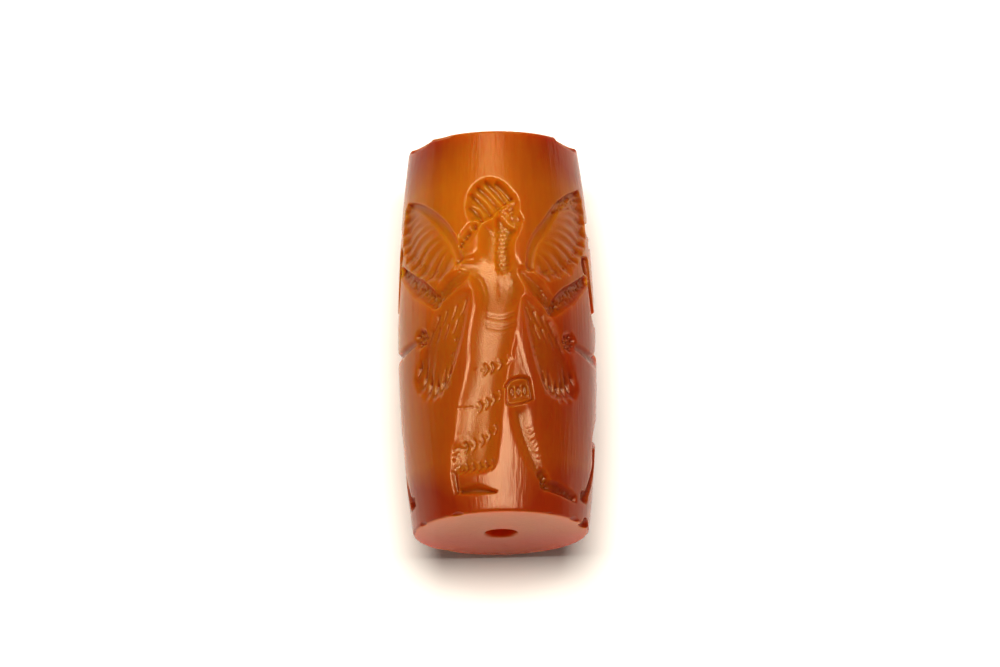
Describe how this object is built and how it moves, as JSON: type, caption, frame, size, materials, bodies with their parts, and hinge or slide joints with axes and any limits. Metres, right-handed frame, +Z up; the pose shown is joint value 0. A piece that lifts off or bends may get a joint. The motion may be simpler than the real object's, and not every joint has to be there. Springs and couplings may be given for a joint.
{
  "type": "cylinder seal",
  "caption": "Barrel-shaped cylinder seal of translucent orange-red stone, bored lengthwise and carved in intaglio with a four-winged figure between rearing winged lions.",
  "frame": {"origin": "under the middle of the stone's length, on the plane of the small flat that it rests on", "axes": "+Y along the bore from the lower end to the upper end, +Z up through the carved standing figure, +X to the side that the figure faces"},
  "size_m": [0.019, 0.038, 0.0189],
  "materials": {
    "cylinder_seal": "polished translucent orange-red carnelian, finely grained inside the cuts"
  },
  "bodies": {
    "root": {"cylinder_seal": "cylinder_seal"}
  },
  "joints": []
}
